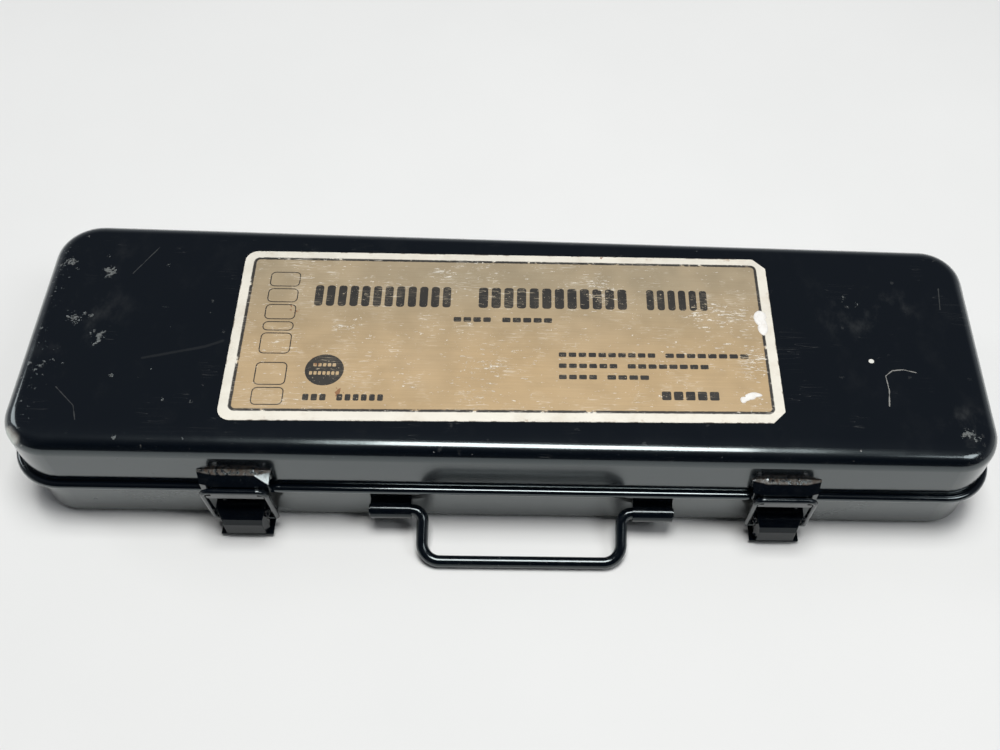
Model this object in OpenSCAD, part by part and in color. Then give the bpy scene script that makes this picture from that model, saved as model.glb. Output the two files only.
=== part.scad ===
// Flat steel tool case holding a half-inch-drive socket set.
// The origin is the centre of the case's underside; X is the length, -Y the front, +Z up.

/* [Case] */
// Length of the closed case over the lid walls
case_l = 370; // [345:1:450]
// Depth of the closed case, front wall to rear wall
case_w = 108; // [104:1:130]
// Height of the closed case
case_h = 49.2; // [46:0.2:62]
// Plan radius of the case corners
corner_r = 17; // [12:0.5:22]
// Radius between the lid's top and its walls
top_r = 6; // [4:0.5:8]
// Thickness of the case sheet
sheet = 0.8; // [0.6:0.1:1]
// Height of the seam, where the lid's rolled rim is centred
seam_z = 24.6; // [23.6:0.2:26]
// Radius of the rolled rim
bead_r = 1.7; // [1.4:0.1:1.8]

/* [Hinges] */
// Distance of each hinge from the middle of the case
hinge_x = 120; // [90:1:130]
// Length of a hinge
hinge_l = 30; // [24:1:32]

/* [Handle] */
// Offset of the handle from the middle of the case
handle_x = 3; // [-10:0.5:10]
// Half the distance between the handle's legs
handle_half = 38.5; // [32:0.5:45]
// Distance from the handle's pivot axis to its bar
handle_reach = 19.5; // [18:0.5:24]
// Diameter of the handle wire
handle_d = 4.6; // [4:0.1:4.8]

/* [Latches] */
// Distance of each latch from the middle of the case
latch_x = 103; // [88:1:125]
// Half the width of a latch lever
lever_half = 8.7; // [8.2:0.1:8.8]

/* [Label] */
// Length of the label
label_l = 210.5; // [150:0.5:230]
// Width of the label
label_w = 81.5; // [60:0.5:84]

/* [Tools] */
// Length of a socket
socket_l = 38; // [34:0.5:39]
// Length of the ratchet from head to butt
ratchet_l = 255; // [220:1:258]
// Length of the extension bar
extension_l = 125; // [100:1:130]

/* [Hidden] */
$fn = 48;

black = "#17191c";
steel = "#b9bcc0";
chrome = "#d5d8dc";

// Case walls: the pan nests inside the lid's rim
nest = 1.2;                        // from the lid's outer face to the pan's outer face
pan_l = case_l - 2 * nest;
pan_w = case_w - 2 * nest;
pan_r = corner_r - nest;
pan_top = seam_z + 3;              // the pan's edge, inside the lid
pan_fillet = 3;
rim_z = seam_z - 0.8;              // lower end of the lid's wall, inside the rolled rim
bead_out = 0.95;                   // centre of the rolled rim in front of the wall
front_y = -case_w / 2;             // outer face of the lid's front wall
rear_y = case_w / 2;

// Hinge line at the seam
axis_y = rear_y + 2.4;
knuckle_r = 2;
hinge_pin_r = 1;
leaf_t = 0.8;
middle_knuckle = 11;
knuckle_gap = 0.3;

// Handle pivot, measured out from the lid's front wall, and the angle at which it lies
pivot_out = 2.6;
pivot_z = 12;
handle_droop = asin((pivot_z - handle_d / 2 - 0.3) / handle_reach);
clip_l = 15.5;
inner_bend = 4;
clip_start = handle_half + inner_bend + 0.3;
strap = 0.9;
outer_bend = 7;

// Latch pivots: [out from the lid's front wall, height]
lever_pivot = [5.2, 13.2];
loop_pivot = [4, 8.2];
loop_bar = [6.9, 31.4];            // middle of the loop's top wire
claw_h = 5.2;
claw_t = 0.9;
strike_lip = [2, 35.4];            // front edge of the strike's lip
strike_slope_z = 31.6;             // where its slope meets its skirt
strike_out = 5;                    // front face of its skirt
strike_foot = 25.8;                // lower end of its skirt
strike_half = 18;
strike_crease = 7.2;
strike_sweep = 14;
latch_pin_r = 1.1;
pin_fit = 0.07;
loop_r = 1.1;
loop_half = 11.4;
loop_bend = 3;
plate = 0.9;
ear_in = 9;
lever_t = 0.8;
beyond = 20;                       // past every latch piece on each side, for cuts

// Tool layout
floor_z = sheet;
seat = 0.3;
deck_z = 14;                       // upper face of the insert
rack_l = 2 * (pan_l / 2 - sheet - seat - 0.5);
rack_w = 2 * (pan_w / 2 - sheet - seat - 0.5);
rack_r = pan_r - sheet - seat - 0.5;
skirt_z = floor_z + 1;
drive = 12.7;                      // side of the square drive
socket_back = -10.5;               // Y of the sockets' drive ends
socket_gap = 5.5;
// Each socket: [width of the bolt opening across its flats, outer diameter]
SOCKETS = [
    [11.1, 22], [12.7, 22], [14.3, 22], [15.9, 22.5], [17.5, 24],
    [19.05, 26], [20.6, 28], [22.2, 30], [23.8, 32], [25.4, 34],
];
function socket_od(n) = SOCKETS[n][1];
function row_length(n) = n < 0 ? 0 : row_length(n - 1) + socket_od(n) + (n > 0 ? socket_gap : 0);
function socket_x(n) = row_length(n) - socket_od(n) / 2 - row_length(len(SOCKETS) - 1) / 2;

// Ratchet, head centre at [ratchet_x, ratchet_y], drive square pointing down
ratchet_x = -120;
ratchet_y = 30;
head_r = 19;
head_t = 16;
head_z = deck_z + seat;
shank_z = head_z + head_t / 2;
shank_r = 6.2;
grip_r = 8.5;
grip_l = 122;
cavity_r = 12.3;
gear_r = 11.8;
boss_r = 9.5;
journal_fit = 0.08;
cover_t = 2.4;
cover_r = 16.5;
pawl_x = 17.6;
pocket_r = 6.7;
screw_ring = 14.5;
anvil_l = 11;

// Extension bar along X
extension_y = 8;
extension_x = 2;
female_r = 11;
collar_r = 7.4;
extension_z = floor_z + seat + female_r;

// ---------- shared shapes ----------

// Carries a wall profile round a rounded rectangle; X of the profile is 0 at the corners' centres
module box_sweep(l, w, r) {
    for (sx = [0, 1], sy = [0, 1])
        mirror([sx, 0, 0]) mirror([0, sy, 0])
            translate([l / 2 - r, w / 2 - r, 0]) rotate_extrude(angle = 90) children();
    for (sy = [0, 1])
        mirror([0, sy, 0]) translate([r - l / 2, w / 2 - r, 0])
            rotate([90, 0, 90]) linear_extrude(l - 2 * r) children();
    for (sx = [0, 1])
        mirror([sx, 0, 0]) translate([l / 2 - r, w / 2 - r, 0])
            rotate([90, 0, 0]) linear_extrude(w - 2 * r) children();
}

// Bent sheet in section: a quarter ring whose outer arc is centred at the origin, towards +X +Y
module quarter_ring(outer, inner) {
    intersection() {
        difference() {
            circle(outer);
            circle(inner);
        }
        square(outer + 1);
    }
}

module rounded_rect(l, w, r) {
    square([l - 2 * r, w], center = true);
    square([l, w - 2 * r], center = true);
    for (sx = [-1, 1], sy = [-1, 1])
        translate([sx * (l / 2 - r), sy * (w / 2 - r)]) circle(r);
}

// Bar from x0 to x1 whose section is drawn as [distance out from the lid's front wall, height]
module front_bar(x0, x1) {
    translate([x0, front_y, 0]) mirror([0, 1, 0])
        rotate([90, 0, 90]) linear_extrude(x1 - x0) children();
}

// Round rod along X at a place given as [distance out, height]
module front_rod(x0, x1, at, r) {
    translate([x0, front_y - at[0], at[1]]) rotate([0, 90, 0]) cylinder(h = x1 - x0, r = r);
}

// ---------- case ----------

module pan_profile() {
    square([pan_r - pan_fillet, sheet]);
    translate([pan_r - sheet, pan_fillet]) square([sheet, pan_top - pan_fillet]);
    translate([pan_r - pan_fillet, pan_fillet])
        mirror([0, 1]) quarter_ring(pan_fillet, pan_fillet - sheet);
}

module pan() {
    color(black) {
        box_sweep(pan_l, pan_w, pan_r) pan_profile();
        translate([pan_r - pan_l / 2, pan_r - pan_w / 2, 0])
            cube([pan_l - 2 * pan_r, pan_w - 2 * pan_r, sheet]);
    }
}

module lid_profile() {
    translate([0, case_h - sheet]) square([corner_r - top_r, sheet]);
    translate([corner_r - sheet, rim_z]) square([sheet, case_h - top_r - rim_z]);
    translate([corner_r - top_r, case_h - top_r]) quarter_ring(top_r, top_r - sheet);
}

module bead_section() {
    difference() {
        circle(bead_r);
        circle(bead_r - 0.7);
    }
}

// Straight length of the rolled rim along X on the rear (side = 1) or front (side = -1)
module bead_run(x0, x1, side) {
    translate([x0, side * (case_w / 2 + bead_out), seam_z])
        rotate([0, 90, 0]) linear_extrude(x1 - x0) bead_section();
}

// Rolled rim, left out behind each hinge so that the knuckles can sit at the seam
module rolled_rim() {
    straight = case_l / 2 - corner_r;
    clear = hinge_l / 2 + 2;
    for (sx = [0, 1], sy = [0, 1])
        mirror([sx, 0, 0]) mirror([0, sy, 0])
            translate([straight, case_w / 2 - corner_r, seam_z]) rotate_extrude(angle = 90)
                translate([corner_r + bead_out, 0]) bead_section();
    bead_run(-straight, straight, -1);
    bead_run(-straight, -hinge_x - clear, 1);
    bead_run(-hinge_x + clear, hinge_x - clear, 1);
    bead_run(hinge_x + clear, straight, 1);
    for (sx = [0, 1])
        mirror([sx, 0, 0])
            translate([case_l / 2 + bead_out, case_w / 2 - corner_r, seam_z])
                rotate([90, 0, 0]) linear_extrude(case_w - 2 * corner_r) bead_section();
}

module lid() {
    color(black) {
        box_sweep(case_l, case_w, corner_r) lid_profile();
        translate([corner_r - case_l / 2, corner_r - case_w / 2, case_h - sheet])
            cube([case_l - 2 * corner_r, case_w - 2 * corner_r, sheet]);
        rolled_rim();
    }
}

module label() {
    a = label_l / 2;
    b = label_w / 2;
    cut = 5;
    steps = 6;
    left_top = [for (k = [0:steps]) [cut - a + cut * cos(90 + 90 * k / steps),
                                     b - cut + cut * sin(90 + 90 * k / steps)]];
    left_low = [for (k = [0:steps]) [cut - a + cut * cos(180 + 90 * k / steps),
                                     cut - b + cut * sin(180 + 90 * k / steps)]];
    right = [[a - cut, -b], [a, cut - b], [a, b - cut], [a - cut, b]];
    color("#b49b73")
        translate([-4, 1.3, case_h]) rotate([0, 0, 1]) linear_extrude(0.3)
            polygon(concat(left_top, left_low, right));
}

// ---------- hinges ----------

module knuckle(x0, x1) {
    translate([x0, axis_y, seam_z]) rotate([0, 90, 0]) cylinder(h = x1 - x0, r = knuckle_r);
}

module knuckle_bore(r) {
    translate([-hinge_l, axis_y, seam_z]) rotate([0, 90, 0]) cylinder(h = 2 * hinge_l, r = r);
}

module hinge_leaf_lid() {
    color(steel) difference() {
        union() {
            knuckle(-middle_knuckle / 2, middle_knuckle / 2);
            translate([-middle_knuckle / 2, rear_y, seam_z + 0.6]) cube([middle_knuckle, 1.6, 3]);
            translate([-hinge_l / 2, rear_y, seam_z + 3]) cube([hinge_l, leaf_t, 10]);
        }
        knuckle_bore(hinge_pin_r + 0.06);
    }
}

module hinge_leaf_pan() {
    inner = middle_knuckle / 2 + knuckle_gap;
    wall = rear_y - nest;
    color(steel) difference() {
        union() {
            for (side = [0, 1]) mirror([side, 0, 0]) {
                knuckle(inner, hinge_l / 2);
                translate([inner, wall, seam_z - 2.5]) cube([hinge_l / 2 - inner, axis_y - wall, 1]);
            }
            translate([-hinge_l / 2, wall, seam_z - 13]) cube([hinge_l, leaf_t, 11.5]);
        }
        knuckle_bore(hinge_pin_r);
    }
}

module hinge_pin() {
    color(chrome) {
        translate([-hinge_l / 2, axis_y, seam_z]) rotate([0, 90, 0])
            cylinder(h = hinge_l, r = hinge_pin_r);
        for (side = [0, 1]) mirror([side, 0, 0])
            translate([hinge_l / 2, axis_y, seam_z]) rotate([0, 90, 0]) cylinder(h = 0.6, r = 1.5);
    }
}

// ---------- handle ----------

module wire_bend(bend) {
    rotate_extrude(angle = 90) translate([bend, 0]) circle(handle_d / 2);
}

// One half of the handle, lying in the XY plane with the pivot along X and the bar towards -Y
module half_handle() {
    r = handle_d / 2;
    bar_x = handle_half - outer_bend;
    translate([handle_half + inner_bend, 0, 0]) rotate([0, 90, 0])
        cylinder(h = clip_start + clip_l + 0.6 - handle_half - inner_bend, r = r);
    translate([handle_half + inner_bend, -inner_bend, 0]) rotate([0, 0, 90]) wire_bend(inner_bend);
    translate([handle_half, -inner_bend, 0]) rotate([90, 0, 0])
        cylinder(h = handle_reach - inner_bend - outer_bend, r = r);
    translate([bar_x, outer_bend - handle_reach, 0]) rotate([0, 0, -90]) wire_bend(outer_bend);
    translate([0, -handle_reach, 0]) rotate([0, 90, 0]) cylinder(h = bar_x, r = r);
}

module carry_handle() {
    color(black)
        translate([handle_x, front_y - pivot_out, pivot_z]) rotate([handle_droop, 0, 0]) {
            half_handle();
            mirror([1, 0, 0]) half_handle();
        }
}

// Strap curled round the handle wire and fixed to the pan's front wall
module handle_clip(x0) {
    bore = handle_d / 2 + pin_fit;
    color(black) difference() {
        union() {
            front_rod(x0, x0 + clip_l, [pivot_out, pivot_z], bore + strap);
            front_bar(x0, x0 + clip_l) {
                translate([-nest, pivot_z - 2]) square([strap, 8]);
                translate([-nest, pivot_z + bore - 0.6]) square([pivot_out + nest, strap + 0.6]);
            }
        }
        front_rod(x0 - 1, x0 + clip_l + 1, [pivot_out, pivot_z], bore);
    }
}

// ---------- latches, drawn about X = 0 ----------

// Block behind the strike's lip, slope and skirt, set back by the sheet when it is the hollow
module strike_wedge(hollow) {
    in = hollow ? plate : 0;
    low = hollow ? 0 : strike_foot;
    points = [
        [-beyond, strike_lip[1] + 0.6 - in], [0, strike_lip[1] + 0.6 - in],
        [strike_lip[0] - 0.35 * in, strike_lip[1] - 0.9 * in],
        [strike_out - in, strike_slope_z - 0.35 * in], [strike_out - in, low], [-beyond, low],
    ];
    translate([-beyond, 0, 0]) mirror([0, 1, 0])
        rotate([90, 0, 90]) linear_extrude(2 * beyond) polygon(points);
}

// The same block between two wings that sweep back to the wall
module strike_hood(hollow) {
    intersection() {
        strike_wedge(hollow);
        translate([strike_crease, 0, 0]) rotate([0, 0, strike_sweep]) strike_wedge(hollow);
        translate([-strike_crease, 0, 0]) rotate([0, 0, -strike_sweep]) strike_wedge(hollow);
    }
}

module latch_strike() {
    toe = 0.45;
    toe_half = 7.8;
    wing_foot = strike_foot + 1;
    front_outline = [
        [-strike_half, strike_lip[1] + 1], [strike_half, strike_lip[1] + 1],
        [strike_half, wing_foot], [toe_half + 1, wing_foot], [toe_half, strike_foot],
        [-toe_half, strike_foot], [-toe_half - 1, wing_foot], [-strike_half, wing_foot],
    ];
    color(black) translate([0, front_y, 0]) {
        difference() {
            intersection() {
                strike_hood(false);
                rotate([90, 0, 0]) linear_extrude(beyond) polygon(front_outline);
            }
            strike_hood(true);
        }
        translate([-toe_half, 0, 0]) mirror([0, 1, 0])
            rotate([90, 0, 90]) linear_extrude(2 * toe_half) translate([strike_out - plate, strike_foot])
                polygon([[0, 0], [plate + toe, 0], [plate + toe, 1], [plate, 1.6], [0, 1.6]]);
    }
}

module latch_base() {
    ear = [[-nest, 10.8], [lever_pivot[0], lever_pivot[1] - 2.2],
           [lever_pivot[0], lever_pivot[1] + 2.2], [-nest, 16.4]];
    color(black) difference() {
        union() {
            front_bar(-ear_in - plate, ear_in + plate) {
                translate([-nest, 1.6]) square([plate, 19.4]);
                translate([-nest, 1.6]) square([nest + 8.8, plate]);
            }
            for (side = [0, 1]) mirror([side, 0, 0]) front_bar(ear_in, ear_in + plate) {
                polygon(ear);
                translate(lever_pivot) circle(2.2);
            }
        }
        front_rod(-beyond, beyond, lever_pivot, latch_pin_r);
    }
}

module latch_pin() {
    color(steel) front_rod(-ear_in - plate, ear_in + plate, lever_pivot, latch_pin_r);
}

// Upright block whose front corners are cut back, for the lever outside and inside
module lever_block(half, face) {
    shoulder = face - 3.4;
    front = half - 1.7;
    translate([0, front_y, 0]) mirror([0, 1, 0]) linear_extrude(beyond)
        polygon([[-half, -1], [-half, shoulder], [-front, face],
                 [front, face], [half, shoulder], [half, -1]]);
}

module latch_lever() {
    web = [[2.2, 16.9], [6.6, 16.3], [8.8, 13.4], [9.5, 10.5], [9.4, 3.9]];
    side_plate = concat(web, [[7.6, 3.9], [2.3, 5.8], [2.2, 10]]);
    inner = [[1, 16], [6.3, 15.5], [8.1, 13.1], [8.7, 10.4], [8.6, 3], [1, 3]];
    color(black) difference() {
        intersection() {
            front_bar(-lever_half, lever_half) polygon(side_plate);
            lever_block(lever_half, 10);
        }
        intersection() {
            front_bar(lever_t - lever_half, lever_half - lever_t) polygon(inner);
            lever_block(lever_half - lever_t, 9.4);
        }
        front_rod(-beyond, beyond, lever_pivot, latch_pin_r + pin_fit);
        front_rod(-beyond, beyond, loop_pivot, loop_r + pin_fit);
    }
}

module latch_loop() {
    lean = atan2(loop_bar[0] - loop_pivot[0], loop_bar[1] - loop_pivot[1]);
    reach = norm(loop_bar - loop_pivot);
    stub = loop_half - (lever_half - 1.3);
    color(black)
        translate([0, front_y - loop_pivot[0], loop_pivot[1]]) rotate([lean, 0, 0])
            for (side = [0, 1]) mirror([side, 0, 0]) {
                translate([loop_half - stub, 0, 0]) rotate([0, 90, 0]) cylinder(h = stub, r = loop_r);
                translate([loop_half, 0, 0]) sphere(loop_r);
                translate([loop_half, 0, 0]) cylinder(h = reach - loop_bend, r = loop_r);
                translate([loop_half - loop_bend, 0, reach - loop_bend]) rotate([90, 0, 0])
                    rotate_extrude(angle = 90) translate([loop_bend, 0]) circle(loop_r);
                translate([0, 0, reach]) rotate([0, 90, 0])
                    cylinder(h = loop_half - loop_bend, r = loop_r);
                translate([0, -claw_t / 2, reach - claw_h])
                    cube([loop_half - 0.6 * loop_r, claw_t, claw_h - loop_bend]);
                translate([0, -claw_t / 2, reach - loop_bend - 0.01])
                    cube([loop_half - loop_bend, claw_t, loop_bend]);
            }
}

// ---------- insert ----------

module deck_cutouts() {
    for (n = [0:len(SOCKETS) - 1])
        translate([socket_x(n) - socket_od(n) / 2 - 0.5, socket_back - socket_l - 0.6])
            square([socket_od(n) + 1, socket_l + 1.2]);
    translate([extension_x - extension_l / 2 - 0.6, extension_y - collar_r - 0.5])
        square([extension_l + 1.2, 2 * collar_r + 1]);
    translate([extension_x - extension_l / 2 - 0.6, extension_y - female_r - 0.5])
        square([27, 2 * female_r + 1]);
    translate([ratchet_x, ratchet_y]) circle(10.4);
    translate([ratchet_x - head_r + ratchet_l - grip_l, ratchet_y - 3]) square([grip_l + 1, 6]);
}

module insert_rack() {
    color("#8f9296") {
        translate([0, 0, deck_z - sheet]) linear_extrude(sheet) difference() {
            rounded_rect(rack_l, rack_w, rack_r);
            deck_cutouts();
        }
        translate([0, 0, skirt_z]) linear_extrude(deck_z - sheet - skirt_z) difference() {
            rounded_rect(rack_l, rack_w, rack_r);
            rounded_rect(rack_l - 2 * sheet, rack_w - 2 * sheet, rack_r - sheet);
        }
    }
}

// ---------- ratchet, drawn about its head centre with Z = 0 at the head's lower face ----------

module place_ratchet() {
    translate([ratchet_x, ratchet_y, head_z]) children();
}

module along_x(x0, x1, r) {
    translate([x0, 0, head_t / 2]) rotate([0, 90, 0]) cylinder(h = x1 - x0, r = r);
}

module screw_places() {
    for (a = [100, 180, 260]) rotate([0, 0, a]) translate([screw_ring, 0, 0]) children();
}

module ratchet_body() {
    butt = ratchet_l - head_r;
    grip_start = butt - grip_l;
    color(chrome) place_ratchet() difference() {
        union() {
            cylinder(h = head_t, r = head_r);
            translate([0, 0, 1]) linear_extrude(head_t - 2)
                polygon([[10, -12], [24, -10], [40, -6], [40, 6], [24, 10], [10, 12]]);
            along_x(34, grip_start + 1, shank_r);
            translate([grip_start, 0, head_t / 2]) rotate([0, 90, 0]) rotate_extrude()
                polygon([[0, 0], [shank_r, 0], [grip_r, 4], [grip_r, 10], [grip_r - 0.8, 11],
                         [grip_r - 0.8, 13], [grip_r, 14], [grip_r, grip_l - 14],
                         [grip_r - 0.8, grip_l - 13], [grip_r - 0.8, grip_l - 11],
                         [grip_r, grip_l - 10], [grip_r, grip_l - 3], [grip_r - 3, grip_l],
                         [0, grip_l]]);
        }
        translate([0, 0, -1]) cylinder(h = head_t, r = boss_r + journal_fit);
        translate([0, 0, 2.5]) cylinder(h = head_t, r = cavity_r);
        translate([pawl_x, 0, 2.5]) cylinder(h = head_t, r = pocket_r);
        translate([0, 0, head_t - cover_t]) cylinder(h = cover_t + 1, r = cover_r);
        translate([pawl_x, 0, head_t - cover_t]) cylinder(h = cover_t + 1, r = pocket_r + 1);
        screw_places() translate([0, 0, 5]) cylinder(h = head_t, r = 1.2);
    }
}

module ratchet_cover() {
    color(chrome) place_ratchet() translate([0, 0, head_t - cover_t]) difference() {
        union() {
            cylinder(h = cover_t, r = cover_r);
            translate([pawl_x, 0, 0]) cylinder(h = cover_t, r = pocket_r + 1);
        }
        translate([0, 0, -1]) cylinder(h = cover_t + 2, r = 5 + journal_fit);
        translate([pawl_x, 0, -1]) cylinder(h = cover_t + 2, r = 3 + journal_fit);
        screw_places() {
            translate([0, 0, -1]) cylinder(h = cover_t + 2, r = 1.2);
            translate([0, 0, cover_t - 1.1]) cylinder(h = 2, r = 1.9);
        }
    }
}

module ratchet_screws() {
    color(steel) place_ratchet() screw_places() difference() {
        union() {
            translate([0, 0, 5]) cylinder(h = head_t - 5.4, r = 1.2);
            translate([0, 0, head_t - 1.1]) cylinder(h = 1, r = 1.9);
        }
        translate([-2.5, -0.25, head_t - 0.6]) cube([5, 0.5, 1]);
    }
}

module square_drive(length) {
    translate([-drive / 2, -drive / 2, 0]) cube([drive, drive, length]);
}

module ratchet_gear() {
    teeth = 24;
    tooth_depth = 1.5;
    top = head_t - cover_t - 0.3;
    rim = [for (k = [0:2 * teeth - 1])
        let (r = k % 2 == 0 ? gear_r : gear_r - tooth_depth, a = 180 * k / teeth)
        [r * cos(a), r * sin(a)]];
    color(steel) place_ratchet() difference() {
        union() {
            translate([0, 0, 2.7]) linear_extrude(top - 2.7) polygon(rim);
            translate([0, 0, -0.2]) cylinder(h = 4, r = boss_r);
            translate([0, 0, top - 1]) cylinder(h = head_t - top + 1, r = 5);
            translate([0, 0, -anvil_l]) square_drive(anvil_l);
        }
        translate([0, -drive, -anvil_l / 2]) rotate([-90, 0, 0]) cylinder(h = drive - 2, r = 1.85);
    }
}

module ratchet_pawl() {
    h = head_t - cover_t - 3.1;
    color(steel) place_ratchet() translate([pawl_x, 0, 2.8]) difference() {
        union() {
            cylinder(h = h, r = 3.4);
            linear_extrude(h)
                polygon([[0, -3], [-5, -2.8], [-4.6, -1.4], [-5.1, 0], [-4.6, 1.4], [-5, 2.8],
                         [0, 3], [-2.4, 0]]);
        }
        translate([0, 0, -1]) cylinder(h = h + 2, r = 2);
    }
}

module ratchet_selector() {
    color(chrome) place_ratchet() translate([pawl_x, 0, 0]) {
        translate([0, 0, 2.8]) cylinder(h = head_t - cover_t - 3, r = 2);
        translate([0, 0, head_t - cover_t - 0.2]) cylinder(h = cover_t + 0.6, r = 3);
        translate([0, 0, head_t + 0.3]) cylinder(h = 2.2, r = 5.2);
        translate([0, 0, head_t + 0.3]) linear_extrude(2.2)
            polygon([[0, -5], [14, -2.4], [15.5, -1.4], [15.5, 1.4], [14, 2.4], [0, 5]]);
    }
}

// Ball of a square drive, in its pocket on the -Y face
module drive_ball() {
    translate([0, 1.15 - drive / 2, 0]) sphere(1.8);
}

module ratchet_ball() {
    color(steel) place_ratchet() translate([0, 0, -anvil_l / 2]) drive_ball();
}

// ---------- extension bar ----------

module place_extension() {
    translate([extension_x - extension_l / 2, extension_y, extension_z]) children();
}

module extension_bar() {
    male = 15;
    color(chrome) place_extension() difference() {
        union() {
            rotate([0, 90, 0]) rotate_extrude()
                polygon([[0, 0], [female_r - 0.8, 0], [female_r, 0.8], [female_r, 22],
                         [6.3, 28], [6.3, extension_l - male - 4], [collar_r, extension_l - male - 2],
                         [collar_r, extension_l - male], [0, extension_l - male]]);
            translate([extension_l - male, -drive / 2, -drive / 2]) cube([male, drive, drive]);
        }
        translate([-1, -drive / 2 - 0.1, -drive / 2 - 0.1])
            cube([17, drive + 0.2, drive + 0.2]);
        translate([extension_l - male / 2, -drive, 0]) rotate([-90, 0, 0])
            cylinder(h = drive - 2, r = 1.85);
    }
}

module extension_ball() {
    color(steel) place_extension() translate([extension_l - 7.5, 0, 0]) drive_ball();
}

// ---------- sockets ----------

module socket(n) {
    flats = SOCKETS[n][0];
    r = socket_od(n) / 2;
    neck_r = min(r, 12);
    hex_r = flats / 2 / cos(30);
    color(chrome)
        translate([socket_x(n), socket_back, floor_z + seat + r]) rotate([90, 0, 0]) difference() {
            rotate_extrude()
                polygon([[0, 0], [neck_r - 0.8, 0], [neck_r, 0.8], [neck_r, 13],
                         [r, 13 + 1.2 * (r - neck_r) + 0.1], [r, socket_l - 0.8],
                         [r - 0.8, socket_l], [0, socket_l]]);
            translate([0, 0, -1]) square_drive(16.5);
            cylinder(h = socket_l, r = min(5.5, flats / 2 - 0.6));
            for (turn = [0, 30]) translate([0, 0, socket_l - 17]) rotate([0, 0, turn])
                cylinder(h = 18, r = hex_r, $fn = 6);
            translate([0, 0, 8]) rotate([0, 90, 0]) cylinder(h = 2 * r, r = 1.9);
        }
}

pan();
lid();
label();
translate([-hinge_x, 0, 0]) hinge_leaf_lid();  // hinge_leaf_lid_left
translate([hinge_x, 0, 0]) hinge_leaf_lid();  // hinge_leaf_lid_right
translate([-hinge_x, 0, 0]) hinge_leaf_pan();  // hinge_leaf_pan_left
translate([hinge_x, 0, 0]) hinge_leaf_pan();  // hinge_leaf_pan_right
translate([-hinge_x, 0, 0]) hinge_pin();  // hinge_pin_left
translate([hinge_x, 0, 0]) hinge_pin();  // hinge_pin_right
carry_handle();
handle_clip(handle_x - clip_start - clip_l);  // handle_clip_left
handle_clip(handle_x + clip_start);  // handle_clip_right
translate([-latch_x, 0, 0]) latch_strike();  // latch_strike_left
translate([latch_x, 0, 0]) latch_strike();  // latch_strike_right
translate([-latch_x, 0, 0]) latch_base();  // latch_base_left
translate([latch_x, 0, 0]) latch_base();  // latch_base_right
translate([-latch_x, 0, 0]) latch_lever();  // latch_lever_left
translate([latch_x, 0, 0]) latch_lever();  // latch_lever_right
translate([-latch_x, 0, 0]) latch_pin();  // latch_pin_left
translate([latch_x, 0, 0]) latch_pin();  // latch_pin_right
translate([-latch_x, 0, 0]) latch_loop();  // latch_loop_left
translate([latch_x, 0, 0]) latch_loop();  // latch_loop_right
insert_rack();
ratchet_body();
ratchet_cover();
ratchet_screws();
ratchet_gear();
ratchet_pawl();
ratchet_selector();
ratchet_ball();
extension_bar();
extension_ball();
socket(0);  // socket_7_16
socket(1);  // socket_1_2
socket(2);  // socket_9_16
socket(3);  // socket_5_8
socket(4);  // socket_11_16
socket(5);  // socket_3_4
socket(6);  // socket_13_16
socket(7);  // socket_7_8
socket(8);  // socket_15_16
socket(9);  // socket_1_inch
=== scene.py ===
"""The looks of a half-inch socket set in its flat steel case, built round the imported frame."""
import math

import bpy
import numpy as np
from mathutils import Matrix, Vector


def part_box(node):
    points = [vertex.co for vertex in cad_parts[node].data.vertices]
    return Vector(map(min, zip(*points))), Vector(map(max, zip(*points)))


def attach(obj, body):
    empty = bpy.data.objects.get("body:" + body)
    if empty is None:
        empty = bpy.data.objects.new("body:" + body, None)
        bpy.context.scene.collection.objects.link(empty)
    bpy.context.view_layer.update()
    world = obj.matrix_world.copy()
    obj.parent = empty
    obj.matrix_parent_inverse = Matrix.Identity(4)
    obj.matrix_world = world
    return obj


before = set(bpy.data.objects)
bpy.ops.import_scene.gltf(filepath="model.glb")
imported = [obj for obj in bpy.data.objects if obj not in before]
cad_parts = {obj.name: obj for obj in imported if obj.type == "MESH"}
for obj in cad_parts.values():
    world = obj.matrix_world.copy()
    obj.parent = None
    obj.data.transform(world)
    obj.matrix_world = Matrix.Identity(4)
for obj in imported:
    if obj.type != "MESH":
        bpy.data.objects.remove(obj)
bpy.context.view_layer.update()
MM = 0.001

# ---------- places, in millimetres ----------

LABEL = np.array([list(corner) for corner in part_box("label")]) / MM
LABEL_TILT = math.radians(1)
LABEL_MIDDLE = LABEL[:, :2].mean(0)
LABEL_TOP = LABEL[1, 2]
LABEL_HALF = (105.25, 40.75)       # half its length and half its width
SEAM_Z = 24.6                      # where the lid's rim meets the pan
RATCHET_Y = 30                     # the ratchet's axis, on the plan
RATCHET_RISE = 8                   # the same axis, over the lowest point of its body
GRIP_X = (0, 104)                  # the ends of the ratchet's knurled grip


# ---------- camera, floor and lights ----------

CAMERA_PLACE = (0.0093, -0.2722, 0.4029)      # metres
CAMERA_TURN, CAMERA_DIP, CAMERA_ROLL = -6.99, 56.07, 7.01      # degrees
LENS_MM = 41
LENS_SHIFT = (-0.1185, 0.0417)
FLOOR_REACH = 4                    # metres from the middle to each side
ROOM_LOW = (0.12, (0.40, 0.41, 0.43, 1))      # height of the look, from 0 to 1, and its colour
ROOM_HIGH = (0.6, (0.072, 0.074, 0.084, 1))
BACKDROP = (0.74, 0.745, 0.75, 1)


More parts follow.
